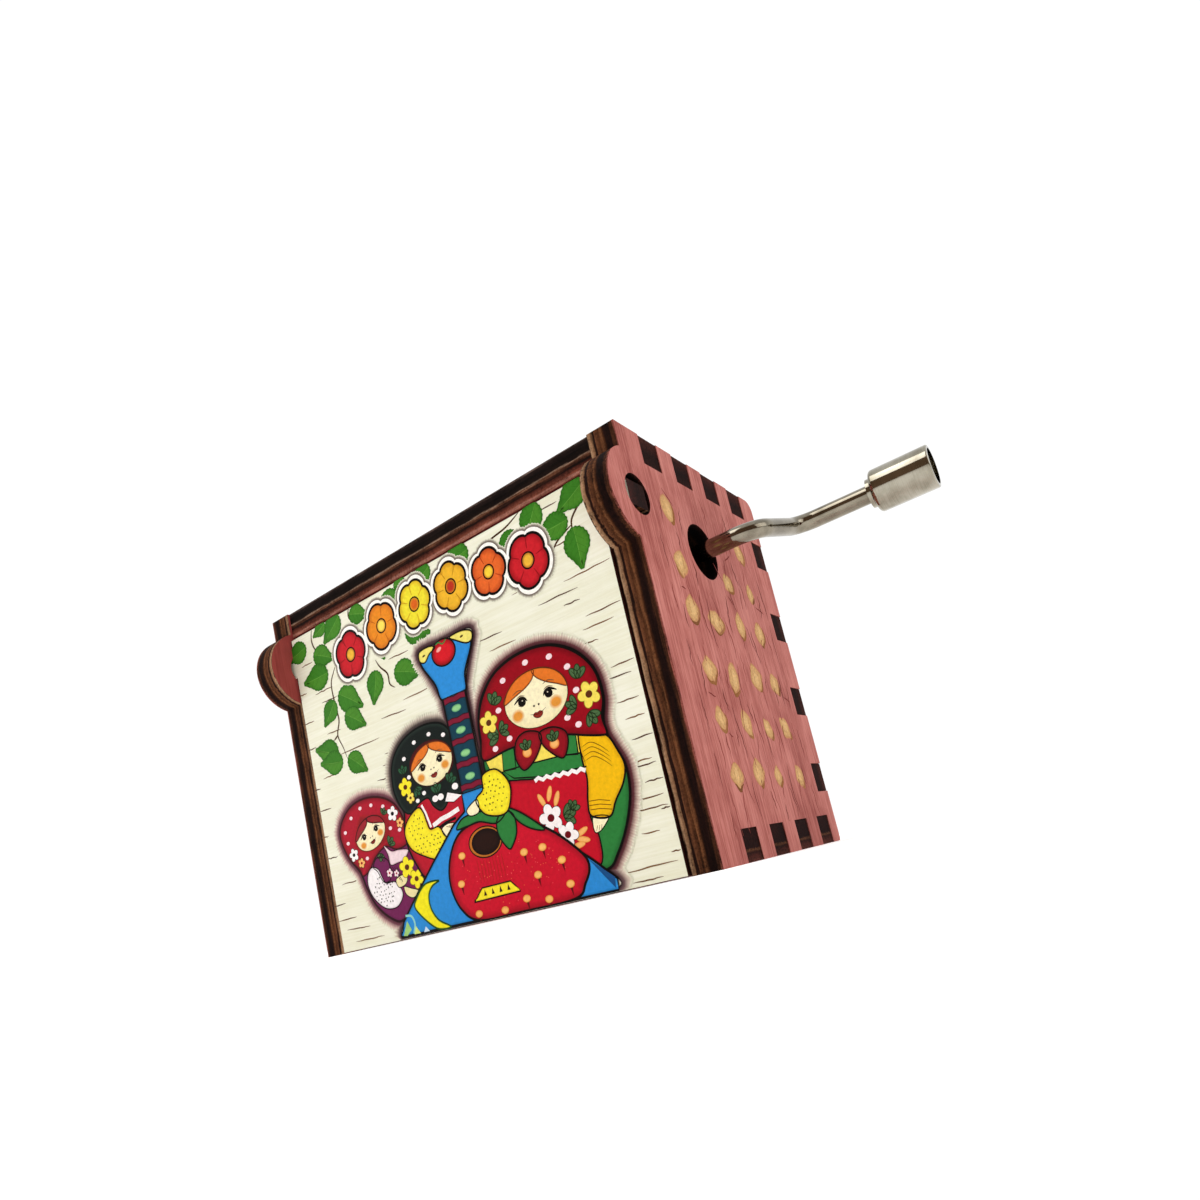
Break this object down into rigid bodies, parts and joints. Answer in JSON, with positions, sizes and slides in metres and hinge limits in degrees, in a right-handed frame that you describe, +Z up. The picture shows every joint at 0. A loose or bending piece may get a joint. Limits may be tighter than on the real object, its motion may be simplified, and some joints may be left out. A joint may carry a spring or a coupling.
{
  "type": "hand-crank music box",
  "caption": "Hand-crank comb music box in a finger-jointed plywood case with a printed swing-up lid, a bent wire crank and a pinned-drum movement inside.",
  "frame": {"origin": "centre of the underside of the case, the point midway between the side panels and midway between their front and rear edges", "axes": "+X along the crank's shaft, out of the right side; +Y from the lid to the rear panel; +Z up"},
  "size_m": [0.0916, 0.0411, 0.0513],
  "materials": {
    "painted_ply": "pink painted laser-cut birch plywood with burnt edges",
    "printed_ply": "plywood lid, printed face, burnt edges",
    "cast_zinc": "die-cast zinc alloy, as cast",
    "bracket_steel": "stamped and zinc-plated steel",
    "comb_steel": "ground hardened spring steel",
    "lead": "dull lead alloy",
    "brass": "turned brass",
    "pin_steel": "drawn steel pins",
    "nylon": "moulded natural nylon",
    "nickel": "nickel-plated steel"
  },
  "bodies": {
    "case": {"right_side_panel": "painted_ply", "left_side_panel": "painted_ply", "top_panel": "painted_ply", "bottom_panel": "painted_ply", "rear_panel": "painted_ply", "movement_frame": "cast_zinc", "worm_bracket": "bracket_steel", "bracket_screws": "nickel", "movement_screws": "nickel", "comb": "comb_steel", "comb_screws": "nickel", "comb_weights": "lead"},
    "lid": {"picture_lid": "printed_ply"},
    "crank": {"crank_rod": "nickel", "worm": "brass", "thrust_washers": "brass", "crank_clip": "bracket_steel", "knob_washer": "nickel", "knob_rivet": "nickel"},
    "knob": {"knob_sleeve": "nickel"},
    "drum": {"drum_tube": "brass", "drum_end_caps": "brass", "drum_pins": "pin_steel", "drum_arbor": "pin_steel", "arbor_clips": "bracket_steel", "worm_wheel": "nylon"}
  },
  "joints": [
    {"name": "lid_hinge", "type": "hinge", "parent": "case", "child": "lid", "pos_m": [0, -0.01695, 0.04255], "axis": [-1, 0, 0], "range_deg": [0, 135]},
    {"name": "crank_spin", "type": "hinge", "parent": "case", "child": "crank", "pos_m": [0, -0.0031, 0.0386], "axis": [1, 0, 0], "continuous": true},
    {"name": "knob_spin", "type": "hinge", "parent": "crank", "child": "knob", "pos_m": [0.0555, 0.00846, 0.04095], "axis": [1, 0, 0], "continuous": true},
    {"name": "drum_spin", "type": "hinge", "parent": "case", "child": "drum", "pos_m": [0.014, 0.0047, 0.02], "axis": [0, 0, 1], "continuous": true}
  ],
  "couplings": [
    {"joint": "drum_spin", "follows": "crank_spin", "ratio": -0.083333}
  ]
}
